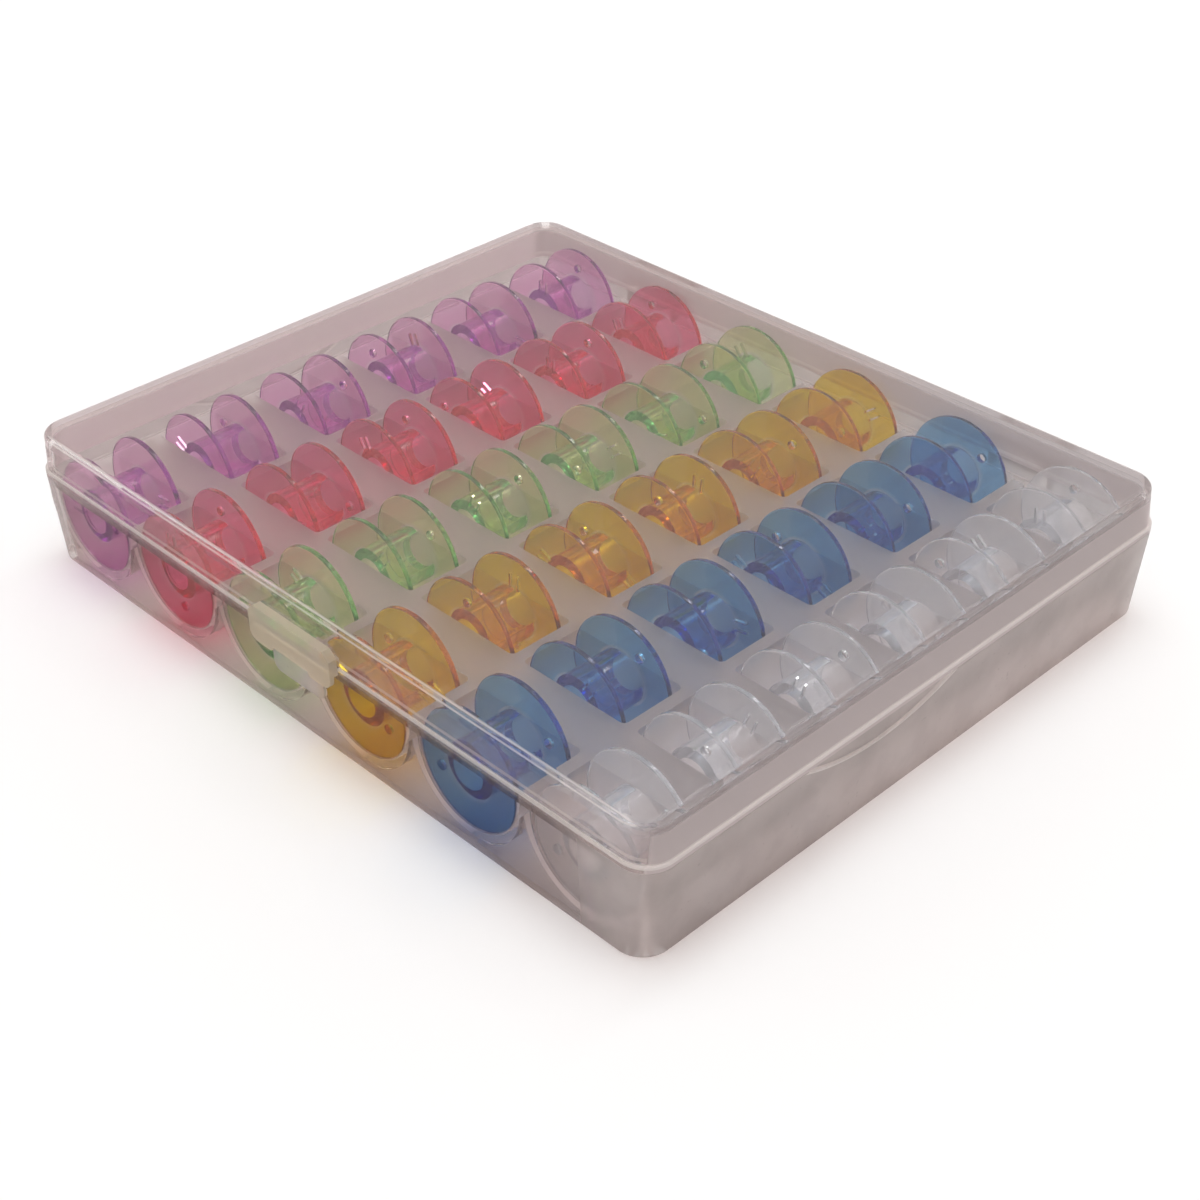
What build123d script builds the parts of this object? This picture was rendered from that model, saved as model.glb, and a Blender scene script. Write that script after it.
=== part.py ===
from build123d import *
import math
import os

os.makedirs("parts", exist_ok=True)

# A clear hinged box for sewing machine bobbins, with thirty-six bobbins in half-round slots.
# Millimetres, +Z up. -Y is the latch side, and the colours run along X. The origin is in the table's
# plane, below the middle of everything, latch and hinges included.

# ---- Driving sizes ----

# Bobbins
flange_diameter = 20.5
flange_thickness = 0.9
bobbin_width = 10.7
hub_diameter = 9.6
bore_diameter = 6.2
rim_round = 0.25
thread_hole_diameter = 1.7
thread_hole_reach = 6.5  # bobbin axis to hole centre
slit_width = 0.3
slit_spacing = 1.7
slit_start = 4.0  # bobbin axis to the slits' inner ends
slit_end = 7.0

# Slots
seat_clearance = 0.08  # under a bobbin
slot_side_clearance = 0.75
slot_end_clearance = 1.9  # both ends together
bobbin_forward = 0.4  # slot's middle to the bobbin's middle, towards the latch side
slot_corner_round = 1.0
slot_lip = 1.9  # upright part of a slot, from its round part to the deck
column_strip = 2.24  # deck between two columns
row_bridge = 8.5  # deck between two rows
left_land = 1.25  # deck between the walls and the outer slots
right_land = 2.05
front_land = 1.15
back_land = 0.5

# Tray
wall = 1.3  # over the deck
skirt = 1.7  # the same walls under the deck
shell = 1.2  # deck and slot walls
slot_foot_gap = 0.4  # table to the slots' undersides
rim_rise = 2.4  # deck to rim
corner_radius = 5.0
end_draft = 4.4  # degrees
side_draft = 2.0  # degrees
foot_round = 0.6
relief_length = 34.0  # finger relief
relief_drop = 3.5
relief_depth = 0.7
relief_shift = -12.0  # middle of the box to the relief's middle, along Y

# Lid
lid_gap = 0.1  # rim to lid
lid_rise = 8.2
lid_wall = 1.3
lid_top = 1.2
lid_end_draft = 4.4  # degrees
lid_side_draft = 1.0  # degrees
lid_edge_round = 1.0
bead_height = 1.0
bead_proud = 0.3
bead_round = 0.25

# Latch
tab_length = 20.0
tab_rise = 4.4  # lid's lower edge to the tab's top
tab_lobe_drop = 2.3  # lid's lower edge to the lobes' undersides
tab_lobe_round = 1.8
tab_middle_drop = 1.5
tab_middle_length = 8.8
tab_bevel = 1.4
tab_thickness = 0.8
catch_length = 12.5
catch_drop = 6.9  # rim to the catch plate's lower edge
catch_thickness = 0.4
catch_round = 1.6
snap_depth = 0.23  # lip on the catch plate, and bead on the tab
snap_height = 0.45
snap_gap = 0.1  # bead to the lip above it
snap_clearance = 0.04  # bead tip to lip tip

# Hinges
hinge_spacing = 90.0
pin_radius = 1.0
pin_clearance = 0.08
clip_wall = 1.1
clip_length = 10.0
clip_slot = 1.5
clip_side_clearance = 0.25
hinge_wall_gap = 0.5
bracket_thickness = 2.0
bracket_wall = 1.1
bracket_drop = 3.4  # pin axis to the bracket's foot on the wall
bracket_shoulder = 0.5  # pin axis to the bracket's top on the wall
root = 0.6  # how far a boss reaches into the wall that carries it

# Which way each thread hole in the back flanges points, in degrees clockwise from the top as seen from
# the latch side, from the front row to the back row
thread_hole_clock = {
    "purple": (268, 298, 28, 162, 275, 2),
    "red": (352, 80, 331, 115, 4, 333),
    "green": (120, 37, 22, 231, 73, 142),
    "amber": (293, 180, 296, 185, 32, 232),
    "blue": (69, 36, 258, 297, 52, 46),
    "clear": (60, 200, 15, 280, 130, 355),
}

# ---- Sizes worked out from them ----

rows = 6
columns = len(thread_hole_clock)
flange_radius = flange_diameter / 2
slot_radius = flange_radius + slot_side_clearance
slot_width = 2 * slot_radius
slot_length = bobbin_width + slot_end_clearance
column_pitch = slot_width + column_strip
row_pitch = slot_length + row_bridge

slot_axis_height = slot_foot_gap + shell + slot_radius
bobbin_axis_height = slot_foot_gap + shell + seat_clearance + flange_radius
deck_height = slot_axis_height + slot_lip
base_height = deck_height + rim_rise
lid_foot = base_height + lid_gap
lid_height = lid_foot + lid_rise

bay_length = left_land + columns * slot_width + (columns - 1) * column_strip + right_land
bay_width = front_land + rows * slot_length + (rows - 1) * row_bridge + back_land
end_slope = math.tan(math.radians(end_draft))
side_slope = math.tan(math.radians(side_draft))
lid_end_slope = math.tan(math.radians(lid_end_draft))
lid_side_slope = math.tan(math.radians(lid_side_draft))


def tray_size(height, inset=0):
    """Length and width of the tray's outside at a height, or of a surface inset from it."""
    rise = height - deck_height
    return (
        bay_length + 2 * (wall + end_slope * rise - inset),
        bay_width + 2 * (wall + side_slope * rise - inset),
    )


rim_length, rim_width = tray_size(base_height)


def lid_size(height, inset=0):
    """Length and width of the lid's outside at a height, or of a surface inset from it."""
    rise = height - lid_foot
    return (
        rim_length - 2 * (bead_proud + lid_end_slope * rise + inset),
        rim_width - 2 * (bead_proud + lid_side_slope * rise + inset),
    )


bore_radius = pin_radius + pin_clearance
clip_radius = bore_radius + clip_wall
bracket_radius = pin_radius + bracket_wall
tab_inner_reach = rim_width / 2 + catch_thickness + 2 * snap_depth + snap_clearance
tab_outer_reach = tab_inner_reach + tab_thickness
hinge_reach = rim_width / 2 + hinge_wall_gap + clip_radius

tray_y = (tab_outer_reach - hinge_reach - max(clip_radius, bracket_radius)) / 2
hinge_y = tray_y + hinge_reach
hinge_height = lid_foot - bore_radius
back_y = tray_y + rim_width / 2
first_column = -bay_length / 2 + left_land + slot_radius
first_row = tray_y - bay_width / 2 + front_land + slot_length / 2
slot_centres = [
    (first_column + column * column_pitch, first_row + row * row_pitch)
    for column in range(columns)
    for row in range(rows)
]


def level(height):
    """A horizontal plane over the middle of the tray."""
    return Plane((0, tray_y, height))


def front(reach):
    """An upright plane that far in front of the tray's middle, its local Y up from the table."""
    return Plane.XZ.offset(reach - tray_y)


# ---- The shape of one slot, and of the wall round it ----

hollow_rise = base_height - slot_axis_height
with BuildPart() as slot_hollow:
    with BuildSketch(Plane.XZ):
        Circle(slot_radius)
        Rectangle(slot_width, slot_radius, align=(Align.CENTER, Align.MIN), mode=Mode.SUBTRACT)
        Rectangle(slot_width, hollow_rise, align=(Align.CENTER, Align.MIN))
    extrude(amount=slot_length / 2, both=True)
    hollow_ends = slot_hollow.faces().filter_by(Axis.Y).edges()
    fillet(hollow_ends.filter_by(lambda edge: edge.center().Z < hollow_rise * 0.9), slot_corner_round)

shell_radius = slot_radius + shell
shell_rise = deck_height - shell / 2 - slot_axis_height
with BuildPart() as slot_shell:
    with BuildSketch(Plane.XZ):
        Circle(shell_radius)
        Rectangle(2 * shell_radius, shell_radius, align=(Align.CENTER, Align.MIN), mode=Mode.SUBTRACT)
        Rectangle(2 * shell_radius, shell_rise, align=(Align.CENTER, Align.MIN))
    extrude(amount=slot_length / 2 + shell, both=True)

# ---- Tray ----

with BuildPart() as base_tray:
    for height in (0, base_height):
        with BuildSketch(level(height)):
            RectangleRounded(*tray_size(height), corner_radius)
    loft(ruled=True)
    fillet(base_tray.faces().sort_by(Axis.Z)[0].edges(), foot_round)

    # The hollow under the deck, then the slots' walls in it
    for height in (0, deck_height - shell):
        with BuildSketch(level(height)):
            RectangleRounded(*tray_size(height, skirt), corner_radius - skirt)
    loft(ruled=True, mode=Mode.SUBTRACT)
    with Locations(*[(x, y, slot_axis_height) for x, y in slot_centres]):
        add(slot_shell.part)

    # The well over the deck, and the slots
    for height in (deck_height, base_height):
        with BuildSketch(level(height)):
            RectangleRounded(*tray_size(height, wall), corner_radius - wall)
    loft(ruled=True, mode=Mode.SUBTRACT)
    with Locations(*[(x, y, slot_axis_height) for x, y in slot_centres]):
        add(slot_hollow.part, mode=Mode.SUBTRACT)

    # Finger reliefs
    relief_radius = (relief_length**2 / 4 + relief_drop**2) / (2 * relief_drop)
    relief_centre = (tray_y + relief_shift, base_height - relief_drop + relief_radius)
    for end in (-1, 1):
        with BuildSketch(Plane.YZ.offset(end * (rim_length / 2 - relief_depth))):
            with Locations(relief_centre):
                Circle(relief_radius)
        extrude(amount=end * 2 * relief_depth, mode=Mode.SUBTRACT)

    # Catch plate with its lip
    with BuildSketch(front(rim_width / 2 + catch_thickness)) as catch_outline:
        with Locations((0, base_height)):
            Rectangle(catch_length, catch_drop, align=(Align.CENTER, Align.MAX))
        fillet(catch_outline.vertices().group_by(Axis.Y)[0], catch_round)
    extrude(amount=-catch_thickness - root)
    lip_foot = lid_foot - tab_middle_drop + snap_height + snap_gap
    with BuildSketch(front(rim_width / 2 + catch_thickness + snap_depth)):
        with Locations((0, lip_foot)):
            Rectangle(catch_length, snap_height, align=(Align.CENTER, Align.MIN))
    extrude(amount=-snap_depth - catch_thickness)

    # Hinge brackets and pins
    for x in (-hinge_spacing / 2, hinge_spacing / 2):
        for side in (-1, 1):
            inner = clip_length / 2 + clip_side_clearance
            with BuildSketch(Plane.YZ.offset(x + side * inner)):
                with Locations((hinge_y, hinge_height)):
                    Circle(bracket_radius)
                with Locations((back_y - root, hinge_height + bracket_shoulder)):
                    Rectangle(root / 2, bracket_shoulder + bracket_drop, align=(Align.MIN, Align.MAX))
                make_hull()
            extrude(amount=side * bracket_thickness)
        with BuildSketch(Plane.YZ.offset(x)):
            with Locations((hinge_y, hinge_height)):
                Circle(pin_radius)
        extrude(amount=clip_length / 2 + clip_side_clearance + bracket_thickness / 2, both=True)

base_tray.part.label = "base_tray"
export_step(base_tray.part, "parts/base_tray.step")

# ---- Lid ----

with BuildPart() as lid:
    with BuildSketch(level(lid_foot)):
        RectangleRounded(rim_length, rim_width, corner_radius)
    extrude(amount=bead_height)
    fillet(lid.faces().sort_by(Axis.Z)[-1].edges(), bead_round)
    for height in (lid_foot, lid_height):
        with BuildSketch(level(height)):
            RectangleRounded(*lid_size(height), corner_radius)
    loft(ruled=True)
    fillet(lid.faces().sort_by(Axis.Z)[-1].edges(), lid_edge_round)

    # Hinge arms, with the clip at the end of each
    for x in (-hinge_spacing / 2, hinge_spacing / 2):
        with BuildSketch(Plane.YZ.offset(x)):
            with Locations((back_y - root, lid_foot)):
                Rectangle(hinge_y - back_y + root, clip_wall, align=(Align.MIN, Align.MIN))
            with Locations((hinge_y, hinge_height)):
                Circle(clip_radius)
                Circle(bore_radius, mode=Mode.SUBTRACT)
                Rectangle(clip_slot, 2 * clip_radius, align=(Align.CENTER, Align.MAX), mode=Mode.SUBTRACT)
        extrude(amount=clip_length / 2, both=True)

    # Latch tab
    with BuildSketch(front(tab_outer_reach)) as tab_outline:
        with Locations((0, lid_foot + tab_rise)):
            Rectangle(tab_length, tab_rise + tab_lobe_drop, align=(Align.CENTER, Align.MAX))
        with Locations((0, lid_foot - tab_middle_drop)):
            Rectangle(tab_middle_length, tab_lobe_drop, align=(Align.CENTER, Align.MAX), mode=Mode.SUBTRACT)
        chamfer(tab_outline.vertices().group_by(Axis.Y)[-1], tab_bevel)
        feet = tab_outline.vertices().group_by(Axis.Y)[0].sort_by(Axis.X)
        fillet(feet[1:-1], (tab_lobe_drop - tab_middle_drop) * 0.9)
        feet = tab_outline.vertices().group_by(Axis.Y)[0].sort_by(Axis.X)
        fillet([feet[0], feet[-1]], tab_lobe_round)
    extrude(amount=-tab_thickness)
    with BuildSketch(front(tab_inner_reach)) as tab_back:
        with Locations((0, lid_foot)):
            Rectangle(tab_length, tab_rise, align=(Align.CENTER, Align.MIN))
        chamfer(tab_back.vertices().group_by(Axis.Y)[-1], tab_bevel)
    extrude(amount=-(tab_inner_reach - rim_width / 2) - root)
    with BuildSketch(front(tab_inner_reach)):
        with Locations((0, lid_foot - tab_middle_drop)):
            Rectangle(catch_length, snap_height, align=(Align.CENTER, Align.MIN))
    extrude(amount=-snap_depth)

    # The inside
    for height in (lid_foot, lid_height - lid_top):
        with BuildSketch(level(height)):
            RectangleRounded(*lid_size(height, lid_wall), corner_radius - lid_wall)
    loft(ruled=True, mode=Mode.SUBTRACT)

lid.part.label = "lid"
export_step(lid.part, "parts/lid.step")

# ---- Bobbins ----

with BuildPart() as bobbin:
    bore_edge = bore_diameter / 2
    with BuildSketch(Plane.XY):
        with Locations((bore_edge, 0)):
            Rectangle(hub_diameter / 2 - bore_edge, bobbin_width, align=(Align.MIN, Align.CENTER))
        for end in (-1, 1):
            with Locations((bore_edge, end * (bobbin_width - flange_thickness) / 2)):
                Rectangle(flange_radius - bore_edge, flange_thickness, align=(Align.MIN, Align.CENTER))
    revolve(axis=Axis.Y)
    rims = bobbin.edges().filter_by(GeomType.CIRCLE).group_by(lambda edge: edge.radius)
    fillet(rims[-1] + rims[0], rim_round)

    # In each flange a thread hole, and two slits opposite it; the two flanges are half a turn apart
    for end in (-1, 1):
        with BuildSketch(Plane.XZ.offset(end * bobbin_width / 2)):
            with Locations((0, -end * thread_hole_reach)):
                Circle(thread_hole_diameter / 2)
            middle = end * (slit_start + slit_end) / 2
            with Locations((-slit_spacing / 2, middle), (slit_spacing / 2, middle)):
                Rectangle(slit_width, slit_end - slit_start)
        extrude(amount=-end * flange_thickness, mode=Mode.SUBTRACT)

for column, (colour, clocks) in enumerate(thread_hole_clock.items()):
    for row, clock in enumerate(clocks):
        x = first_column + column * column_pitch
        y = first_row + row * row_pitch - bobbin_forward
        with BuildPart() as placed_bobbin:
            with Locations(Location((x, y, bobbin_axis_height), (0, clock, 0))):
                add(bobbin.part)
        placed_bobbin.part.label = f"bobbin_{colour}_{row + 1}"
        export_step(placed_bobbin.part, f"parts/{placed_bobbin.part.label}.step")
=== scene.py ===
import math

import bpy
from mathutils import Matrix, Vector


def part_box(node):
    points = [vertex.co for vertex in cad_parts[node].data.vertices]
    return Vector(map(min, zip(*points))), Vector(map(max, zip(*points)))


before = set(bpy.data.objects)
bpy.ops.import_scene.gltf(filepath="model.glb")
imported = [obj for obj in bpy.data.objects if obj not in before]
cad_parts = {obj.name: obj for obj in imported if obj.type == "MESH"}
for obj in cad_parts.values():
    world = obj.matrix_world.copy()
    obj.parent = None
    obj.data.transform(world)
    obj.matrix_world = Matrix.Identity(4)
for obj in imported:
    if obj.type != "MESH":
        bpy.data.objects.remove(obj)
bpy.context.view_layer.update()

MM = 0.001

# ---- Camera ----

camera_place = Vector((210.1, -202.7, 199.8)) * MM
camera_azimuth = 45.77  # degrees, 0 looks along +Y
camera_elevation = 35.14  # degrees down from level
camera_roll = -0.63
camera_lens = 60.4  # millimetres
camera_sensor = 36  # millimetres
camera_reach = (0.01, 50)  # nearest and farthest that it sees, in metres

# ---- Light ----

sky_zenith = (0.40, 0.39, 0.385)
sky_horizon = (0.80, 0.77, 0.76)
sky_change = (0.5, 0.6)  # height on the sky's unit ball, and the width of the change
sky_strength = 1.22
backdrop_white = (1, 1, 1, 1)
floor_white = (0.98, 0.98, 0.98, 1)
floor_reach = 6.0
# Place, size in metres and power in watts
soft_box = ((-0.1, 0.1, 1.2), 0.8, 7.0)
window = ((-0.11, 0.69, 0.98), 0.20, 1.0)

# ---- Places on the parts ----

tray_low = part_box("base_tray")[0]
lid_low, lid_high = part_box("lid")
first_low, first_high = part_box("bobbin_purple_1")
last_low, last_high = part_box("bobbin_clear_6")

columns = 6
column_pitch = (last_low.x - first_low.x) / (columns - 1)
bobbin_middle = (first_low + first_high) / 2
slot_margin = Vector((1.2, 0.2, 0)) * MM  # bobbins to where the walls' clear plastic begins
slots_low = first_low - slot_margin
slots_high = last_high + slot_margin

lid_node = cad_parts["lid"]
lid_places = [lid_node.matrix_world @ vertex.co for vertex in lid_node.data.vertices]
plate_places = [place for place in lid_places if place.z > lid_high.z - 0.01 * MM]
plate_low = Vector([min(place[axis] for place in plate_places) for axis in range(3)])
plate_high = Vector([max(place[axis] for place in plate_places) for axis in range(3)])
lid_edge_round = 1.0 * MM

# A band is where a mask turns from 0 to 1 and over what width
bobbin_light_band = (20 * MM, 50 * MM)  # painted light: the right of the box takes the cooler colour of the light through the blue and clear bobbins
hinge_band = (60.2 * MM, 0.4 * MM)  # behind the back walls

slots_softness = 0.3 * MM
catch_band = (tray_low.y + 0.55 * MM, 0.1 * MM)
deck_band = (tray_low.z + 13.2 * MM, 0.2 * MM)
left_wall_band = (slots_low.x, 5 * MM)
right_wall_band = (slots_high.x - 9 * MM, 14 * MM)
back_wall_band = (slots_high.y + 1.2 * MM, 1.5 * MM)
# Painted shade on the low corner at the right front, along X, Y and Z
corner_shade_bands = ((20 * MM, 90 * MM), (-30 * MM, 90 * MM), (7 * MM, 14 * MM))
# The finger reliefs in the end walls: arcs, and the lip along them, which gets a painted highlight
relief_middle = -13.58 * MM
relief_foot = 13.4 * MM
relief_radius = 43.04 * MM
lip_line = (relief_radius - 0.15 * MM, relief_radius + 0.3 * MM, 0.15 * MM)
lip_end_band = (relief_foot + 3.4 * MM, 0.3 * MM)

half_band = (0, 60 * MM)  # left to right, and front to back
tab_band = (lid_low.y + 1.55 * MM, 0.1 * MM)
# The top of the bead, where a painted highlight runs
bead_line = (lid_high.z - 7.6 * MM, lid_high.z - 6.95 * MM, 0.15 * MM)
plate_band = (lid_high.z - 2.2 * MM, 0.6 * MM)
plate_softness = 0.4 * MM
plate_top_band = (lid_high.z - 0.4 * MM, 0.2 * MM)
plate_back_band = (plate_high.y - 3 * MM, 1 * MM)
front_wall_back = lid_low.y + 5 * MM
side_wall_band = (front_wall_back, 1 * MM)
front_corner_band = (front_wall_back, 6 * MM)
# The painted highlight lines on the lid's rounded edges: the middle and width of each
round_line = (lid_high.z - 0.7 * lid_edge_round, 0.35 * MM)
front_edge_line = (plate_low.y - 0.3 * lid_edge_round, 0.35 * MM)
front_edge_start = (plate_low.x + 4 * MM, 8 * MM)
right_edge_line = (plate_high.x, 0.4 * MM)

hub_band = (5.2 * MM, 0.3 * MM)  # out from a bobbin's axis

# ---- Plastics ----

wall_colour = (0.60, 0.55, 0.535)
deck_colour = (0.73, 0.685, 0.675)
# Painted light: the cooler deck colour on the right stands for the light through the blue and clear
# bobbins
deck_bobbin_light_colour = (0.69, 0.69, 0.705)
# Painted light: the slots are lighter to take out the shade inside them
lit_slot_colour = (0.84, 0.79, 0.775)
frosted_colour = (0.66, 0.61, 0.595)
# Real smudges in the frosted plastic, and also the painted shade of the low front corner
smudge_and_shade_colour = (0.52, 0.48, 0.47)
# Painted shade for the low front corner of the walls
corner_shade_colour = (0.42, 0.39, 0.39)
lid_colour = (0.86, 0.81, 0.80)
# Painted light: the cooler plate colour on the right stands for the light through the blue and clear
# bobbins
lid_bobbin_light_colour = (0.82, 0.81, 0.815)
# Painted light and shade: the lid's left side lit, its right side and back shaded
lid_lit_left_colour = (0.85, 0.78, 0.78)
lid_shaded_right_colour = (0.57, 0.51, 0.505)
lid_shaded_back_colour = (0.68, 0.61, 0.605)
lid_front_colour = (0.74, 0.68, 0.67)
# Painted highlights and light: the light plastic of the relief lips, the bead, the lid's edges and
# corner, and the hinge
painted_light_colour = (0.88, 0.84, 0.81)
tab_colour = (0.64, 0.56, 0.44)

plastic_ior = 1.25
lid_ior = 1.15
thin_ior = 1.07
bobbin_ior = 1.35
# Clearness, roughness and index of refraction
wall_finish = (0.985, 0.22, thin_ior)
deck_finish = (0.92, 0.5, plastic_ior)
slot_finish = (0.65, 0.4, plastic_ior)
frosted_finish = (0.6, 0.4, plastic_ior)
painted_light_finish = (0.45, 0.3, plastic_ior)
plate_finish = (0.97, 0.05, lid_ior)
lid_side_finish = (0.45, 0.35, lid_ior)
lid_front_finish = (0.92, 0.18, thin_ior)
tab_and_highlight_finish = (0.45, 0.3, thin_ior)

# How much of the frosted, and of the light plastic, each place has; the light plastic paints highlights
# and light, except on the latch tab, where it is the tab's own colour
frosted_catch = 0.8
frosted_side = 0.7
frosted_back = 0.7
lip_highlight = 0.6
bracket_painted_light = 0.6
white_tab = 0.8
bead_highlight = 0.7
front_edge_highlight = 0.65
right_edge_highlight = 0.15
corner_highlight = 0.35
clip_painted_light = 0.5

# Scale and detail of each noise, and how strongly it shows
grain_noise = (2600.0, 2.0)
grain_strength = 0.10
grain_depth = 0.05 * MM
smudge_noise = (160.0, 6.0)
smudge_band = (0.52, 0.25)
smudge_share = 0.5
speck_noise = (900.0, 1.0)
speck_band = (0.74, 0.04)
speck_share = 0.9

# What the surfaces, and a millimetre of depth, of each tinted plastic let through
bobbin_tints = {
    "purple": ((1.0, 0.68, 0.88), (0.935, 0.80, 0.955)),
    "red": ((1.0, 0.447, 0.612), (0.985, 0.648, 0.768)),
    "green": ((0.96, 0.96, 0.63), (0.88, 0.968, 0.895)),
    "amber": ((1.0, 0.85, 0.08), (0.972, 0.878, 0.33)),
    "blue": ((0.36, 0.69, 0.91), (0.59, 0.78, 0.95)),
    "clear": ((0.954, 0.967, 0.980), (0.975, 0.982, 0.989)),
}
hub_tint_power = 0.385  # the hub's surface takes this power of the tint, so it's paler
tinted_clearness = 0.98
cloudy_clearness = {"clear": 0.88}
bobbin_roughness = 0.02
bobbin_gloss = 0.6
bobbin_gloss_roughness = 0.03

# What one face lets through of a lamp's light
tray_lamplight = (0.80, 0.75, 0.735)
lid_lamplight = (0.88, 0.86, 0.855)
bobbin_lamplight = (0.96, 0.96, 0.96)


class Value:
    """A node's output. Arithmetic on it adds Math nodes."""

    def __init__(self, finish, socket):
        self.finish = finish
        self.socket = socket

    def maths(self, operation, *values):
        return self.finish.node("ShaderNodeMath", {"operation": operation}, dict(enumerate(values)))

    def __add__(self, other):
        return self.maths("ADD", self, other)

    def __radd__(self, other):
        return self.maths("ADD", other, self)

    def __sub__(self, other):
        return self.maths("SUBTRACT", self, other)

    def __rsub__(self, other):
        return self.maths("SUBTRACT", other, self)

    def __mul__(self, other):
        return self.maths("MULTIPLY", self, other)

    def __rmul__(self, other):
        return self.maths("MULTIPLY", other, self)

    def root(self):
        return self.maths("SQRT", self)

    def wrap(self, reach):
        """Brought within that reach of 0 by whole steps of twice the reach."""
        return self.maths("WRAP", self, reach, -reach)

    def most(self, other):
        return self.maths("MAXIMUM", self, other)

    def above(self, edge, softness):
        """0 below edge, 1 above it, over a band that wide."""
        settings = {"interpolation_type": "SMOOTHSTEP"}
        sockets = {"Value": self, "From Min": edge - softness / 2, "From Max": edge + softness / 2}
        return self.finish.node("ShaderNodeMapRange", settings, sockets)

    def below(self, edge, softness):
        return 1 - self.above(edge, softness)

    def within(self, low, high, softness):
        return self.above(low, softness) * self.below(high, softness)

    def line(self, middle, width):
        """1 in a soft line that wide, 0 beside it."""
        return self.within(middle - width / 2, middle + width / 2, width / 2)


class Finish:
    """The node tree of one material, or of the world."""

    def __init__(self, owner):
        owner.use_nodes = True
        self.tree = owner.node_tree
        self.tree.nodes.clear()

    def node(self, kind, settings=(), sockets=(), output=0):
        made = self.tree.nodes.new(kind)
        for name, value in dict(settings).items():
            setattr(made, name, value)
        for name, value in dict(sockets).items():
            if isinstance(value, Value):
                self.tree.links.new(value.socket, made.inputs[name])
            else:
                made.inputs[name].default_value = value
        return Value(self, made.outputs[output]) if made.outputs else None

    def mix(self, share, colour, other):
        colours = [end if isinstance(end, Value) else (*end, 1) for end in (colour, other)]
        sockets = {0: share, 6: colours[0], 7: colours[1]}
        return self.node("ShaderNodeMix", {"data_type": "RGBA"}, sockets, 2)

    def blend(self, share, body, other):
        return self.node("ShaderNodeMixShader", {}, {0: share, 1: body, 2: other})

    def spot(self):
        """Where on the part a point is, in metres."""
        return self.node("ShaderNodeTexCoord", {}, {}, "Object")

    def place(self):
        """The same along X, Y and Z."""
        spot = self.spot()
        return [self.node("ShaderNodeSeparateXYZ", {}, {"Vector": spot}, axis) for axis in "XYZ"]

    def noise(self, spot, scale, detail):
        return self.node("ShaderNodeTexNoise", {}, {"Vector": spot, "Scale": scale, "Detail": detail})


# ---- Materials ----


def plastic(name, body, lamplight, volume=None):
    """A moulded plastic: its body's shader, the share of lamplight that gets through a face of it, and
    what its thickness absorbs."""
    material = bpy.data.materials.new(name)
    finish = Finish(material)
    open_way = finish.node("ShaderNodeBsdfTransparent", {}, {"Color": (*lamplight, 1)})
    to_lamp = finish.node("ShaderNodeLightPath", {}, {}, "Is Shadow Ray")
    out = {"Surface": finish.blend(to_lamp, body(finish), open_way)}
    if volume:
        out["Volume"] = finish.node("ShaderNodeVolumeAbsorption", {}, volume)
    finish.node("ShaderNodeOutputMaterial", {}, out)
    return material


def clear_body(finish, colour, kind, bump=None):
    clearness, roughness, ior = kind
    sockets = {
        "Base Color": colour if isinstance(colour, Value) else (*colour, 1),
        "Roughness": roughness,
        "IOR": ior,
        "Transmission Weight": clearness,
    }
    if bump:
        sockets["Normal"] = bump
    return finish.node("ShaderNodeBsdfPrincipled", {}, sockets)


def tray_body(finish):
    """Clear in the outer walls, milky and finely textured in the deck, the slots and the catch plate;
    painted shade in the low front corner, painted light in the slots, on the relief lips and the hinge,
    and a cooler painted light on the right.
    """
    x, y, z = finish.place()
    inside_x = x.within(slots_low.x, slots_high.x, slots_softness)
    inside = inside_x * y.within(slots_low.y, slots_high.y, slots_softness)
    catch = y.below(*catch_band)
    spot = finish.spot()
    grain = finish.noise(spot, *grain_noise)
    bumps = {"Strength": grain_strength, "Distance": grain_depth, "Height": grain}
    bump = finish.node("ShaderNodeBump", {}, bumps)
    corner_x, corner_y, corner_z = corner_shade_bands
    # Painted shade: darker low down at the right front corner
    corner_shade = z.below(*corner_z) * y.below(*corner_y) * x.above(*corner_x)
    walls = clear_body(finish, finish.mix(corner_shade, wall_colour, corner_shade_colour), wall_finish)
    # Painted light: cooler colour on the right, from the light through the blue and clear bobbins
    cool_light_share = x.above(*bobbin_light_band)
    deck = clear_body(finish, finish.mix(cool_light_share, deck_colour, deck_bobbin_light_colour), deck_finish, bump)
    # Painted light: the slots are lighter to take out the shade inside them
    slots = clear_body(finish, lit_slot_colour, slot_finish, bump)
    smudges = finish.noise(spot, *smudge_noise).above(*smudge_band)
    specks = finish.noise(spot, *speck_noise).above(*speck_band)
    # Real smudges and specks, plus the painted shade of the low front corner
    smudges_and_shade = smudge_share * smudges + speck_share * specks + corner_shade
    frosted = clear_body(finish, finish.mix(smudges_and_shade, frosted_colour, smudge_and_shade_colour), frosted_finish, bump)
    within = finish.blend(z.above(*deck_band), slots, deck)
    hinge = y.above(*hinge_band)
    not_hinge = 1 - hinge
    side = x.below(*left_wall_band).most(x.above(*right_wall_band))
    back = y.above(*back_wall_band) * not_hinge
    milky = (frosted_catch * catch).most(frosted_side * side * not_hinge).most(frosted_back * back)
    outer = finish.blend(milky, walls, frosted)
    away_y = y - relief_middle
    away_z = z - (relief_foot + relief_radius)
    away = (away_y * away_y + away_z * away_z).root()
    # Painted highlight along the relief lip, and painted light on the hinge bracket against its own
    # shade
    lip = away.within(*lip_line) * side * side * z.below(*lip_end_band)
    light = clear_body(finish, painted_light_colour, painted_light_finish)
    painted_light_share = (lip_highlight * lip).most(bracket_painted_light * hinge)
    return finish.blend(inside, finish.blend(painted_light_share, outer, light), within)


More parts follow.
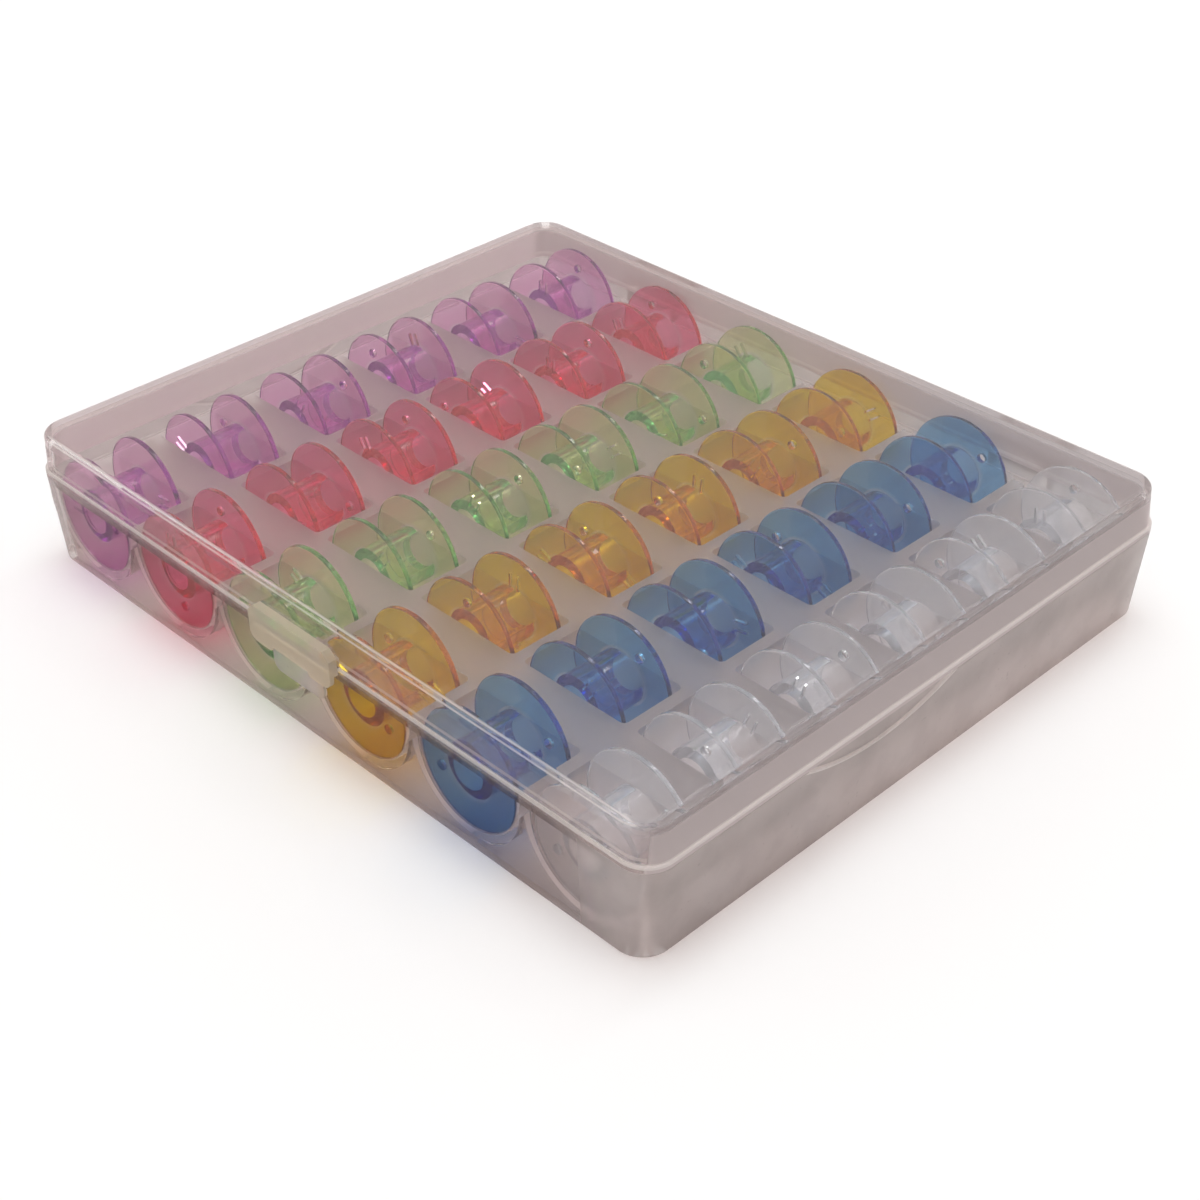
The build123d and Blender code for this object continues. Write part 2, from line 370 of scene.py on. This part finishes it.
def lid_body(finish):
    """Clear in the plate, milkier in the walls, with painted highlight lines along the bead and the
    edges, painted light and shade on the sides, and a cooler painted light on the right.
    """
    x, y, z = finish.place()
    front_half = y.below(*half_band)
    right_half = x.above(*half_band)
    hinge = y.above(*hinge_band)
    tab = y.below(*tab_band)
    bead = z.within(*bead_line) * (1 - hinge)

    # Painted highlight lines along the lid's rounded edges and front right corner
    edge = z.line(*round_line)
    top = z.above(*plate_top_band)
    outside_x = 1 - x.within(plate_low.x, plate_high.x, plate_softness)
    outside_y = 1 - y.within(plate_low.y, plate_high.y, plate_softness)
    front_edge = (edge * outside_y).most(y.line(*front_edge_line) * top)
    front_edge = front_edge * front_half * x.above(*front_edge_start)
    right_edge = (edge * outside_x).most(x.line(*right_edge_line) * top) * right_half
    corner = outside_x * outside_y * front_half * right_half

    # Painted light: cooler colour on the right, from the light through the blue and clear bobbins
    cool_light_share = x.above(*bobbin_light_band)
    clear = clear_body(finish, finish.mix(cool_light_share, lid_colour, lid_bobbin_light_colour), plate_finish)
    # Painted light and shade: lit left side, shaded right side and back
    not_left = right_half.most(y.below(*front_corner_band))
    side_light_and_shade = finish.mix(not_left, lid_lit_left_colour, lid_shaded_right_colour)
    side_light_and_shade = finish.mix(y.above(*plate_back_band), side_light_and_shade, lid_shaded_back_colour)
    sides = clear_body(finish, side_light_and_shade, lid_side_finish)
    front = clear_body(finish, lid_front_colour, lid_front_finish)
    walls = finish.blend(y.above(*side_wall_band).most(outside_x), front, sides)
    far_edge = (outside_y * (1 - front_half)).most(outside_x * (1 - right_half))
    plate = (z.above(*plate_band) * (1 - far_edge)).most(hinge)
    body = finish.blend(plate, walls, clear)

    # Painted highlights on the bead, edges and corner, and painted light on the hinge clip; the latch
    # tab keeps its own colour
    white = clear_body(finish, finish.mix(tab, painted_light_colour, tab_colour), tab_and_highlight_finish)
    share = (white_tab * tab).most(bead_highlight * bead).most(front_edge_highlight * front_edge)
    share = share.most(right_edge_highlight * right_edge).most(corner_highlight * corner)
    return finish.blend(share.most(clip_painted_light * hinge), body, white)


def tinted(tint):
    """Volume absorption that lets this much through in a millimetre."""
    strongest = max(-math.log(share) for share in tint) / MM
    colour = [1 + math.log(share) / MM / strongest for share in tint]
    return {"Color": (*colour, 1), "Density": strongest}


def bobbin_body(finish, skin, clearness):
    """Clear and glossy, its surface less tinted at the hub."""
    x, _, z = finish.place()
    across = (x - bobbin_middle.x).wrap(column_pitch / 2)
    up = z - bobbin_middle.z
    hub = (across * across + up * up).root().below(*hub_band)
    hub_skin = [share**hub_tint_power for share in skin]
    sockets = {
        "Base Color": finish.mix(hub, skin, hub_skin),
        "Roughness": bobbin_roughness,
        "IOR": bobbin_ior,
        "Transmission Weight": clearness,
        "Coat Weight": bobbin_gloss,
        "Coat Roughness": bobbin_gloss_roughness,
    }
    return finish.node("ShaderNodeBsdfPrincipled", {}, sockets)


def bobbin_plastic(name, skin, depth):
    clearness = cloudy_clearness.get(name, tinted_clearness)

    def body(finish):
        return bobbin_body(finish, skin, clearness)

    return plastic(f"{name}_plastic", body, bobbin_lamplight, tinted(depth))


tray_plastic = plastic("tray_plastic", tray_body, tray_lamplight)
lid_plastic = plastic("lid_plastic", lid_body, lid_lamplight)
bobbin_plastics = {name: bobbin_plastic(name, *tints) for name, tints in bobbin_tints.items()}


def dress(node, material):
    """Gives a carried-over part its material."""
    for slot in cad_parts[node].material_slots:
        slot.material = material


dress("base_tray", tray_plastic)
dress("lid", lid_plastic)
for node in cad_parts:
    if node.startswith("bobbin_"):
        dress(node, bobbin_plastics[node.split("_")[1]])

# ---- Floor, sky, lamps and camera ----


def add(name, data):
    """Puts a mesh, a light or a camera in the scene."""
    piece = bpy.data.objects.new(name, data)
    bpy.context.scene.collection.objects.link(piece)
    return piece


def floor():
    reach = floor_reach
    corners = [(-reach, -reach, 0), (reach, -reach, 0), (reach, reach, 0), (-reach, reach, 0)]
    mesh = bpy.data.meshes.new("floor")
    mesh.from_pydata(corners, [], [(0, 1, 2, 3)])
    piece = add("floor", mesh)
    material = bpy.data.materials.new("floor_paper")
    finish = Finish(material)
    paper = finish.node("ShaderNodeBsdfDiffuse", {}, {"Color": floor_white})
    finish.node("ShaderNodeOutputMaterial", {}, {"Surface": paper})
    mesh.materials.append(material)


def sky():
    world = bpy.data.worlds.new("studio")
    bpy.context.scene.world = world
    finish = Finish(world)
    direction = finish.node("ShaderNodeTexCoord", {}, {}, "Generated")
    height = finish.node("ShaderNodeSeparateXYZ", {}, {"Vector": direction}, "Z")
    colour = finish.mix(height.above(*sky_change), sky_horizon, sky_zenith)
    soft = finish.node("ShaderNodeBackground", {}, {"Color": colour, "Strength": sky_strength})
    white = finish.node("ShaderNodeBackground", {}, {"Color": backdrop_white, "Strength": 1.0})
    seen = finish.node("ShaderNodeLightPath", {}, {}, "Is Camera Ray")
    finish.node("ShaderNodeOutputWorld", {}, {"Surface": finish.blend(seen, soft, white)})


def lamp(name, place, size, power):
    """A square lamp that points at the middle of the floor."""
    light = bpy.data.lights.new(name, "AREA")
    light.shape = "SQUARE"
    light.size = size
    light.energy = power
    piece = add(name, light)
    piece.location = place
    piece.rotation_mode = "QUATERNION"
    piece.rotation_quaternion = (-Vector(place)).to_track_quat("-Z", "Y")


def camera():
    lens = bpy.data.cameras.new("camera")
    lens.lens = camera_lens
    lens.sensor_width = camera_sensor
    lens.clip_start, lens.clip_end = camera_reach
    piece = add("camera", lens)
    turn = Matrix.Rotation(math.radians(camera_azimuth), 4, "Z")
    tip = Matrix.Rotation(math.radians(90 - camera_elevation), 4, "X")
    roll = Matrix.Rotation(math.radians(camera_roll), 4, "Z")
    piece.matrix_world = Matrix.Translation(camera_place) @ turn @ tip @ roll
    bpy.context.scene.camera = piece


camera()
floor()
sky()
lamp("soft_box", *soft_box)
lamp("window", *window)

scene = bpy.context.scene
scene.view_settings.view_transform = "Standard"
scene.cycles.max_bounces = 32
scene.cycles.transmission_bounces = 32
scene.cycles.glossy_bounces = 12
scene.cycles.diffuse_bounces = 6
scene.cycles.transparent_max_bounces = 48
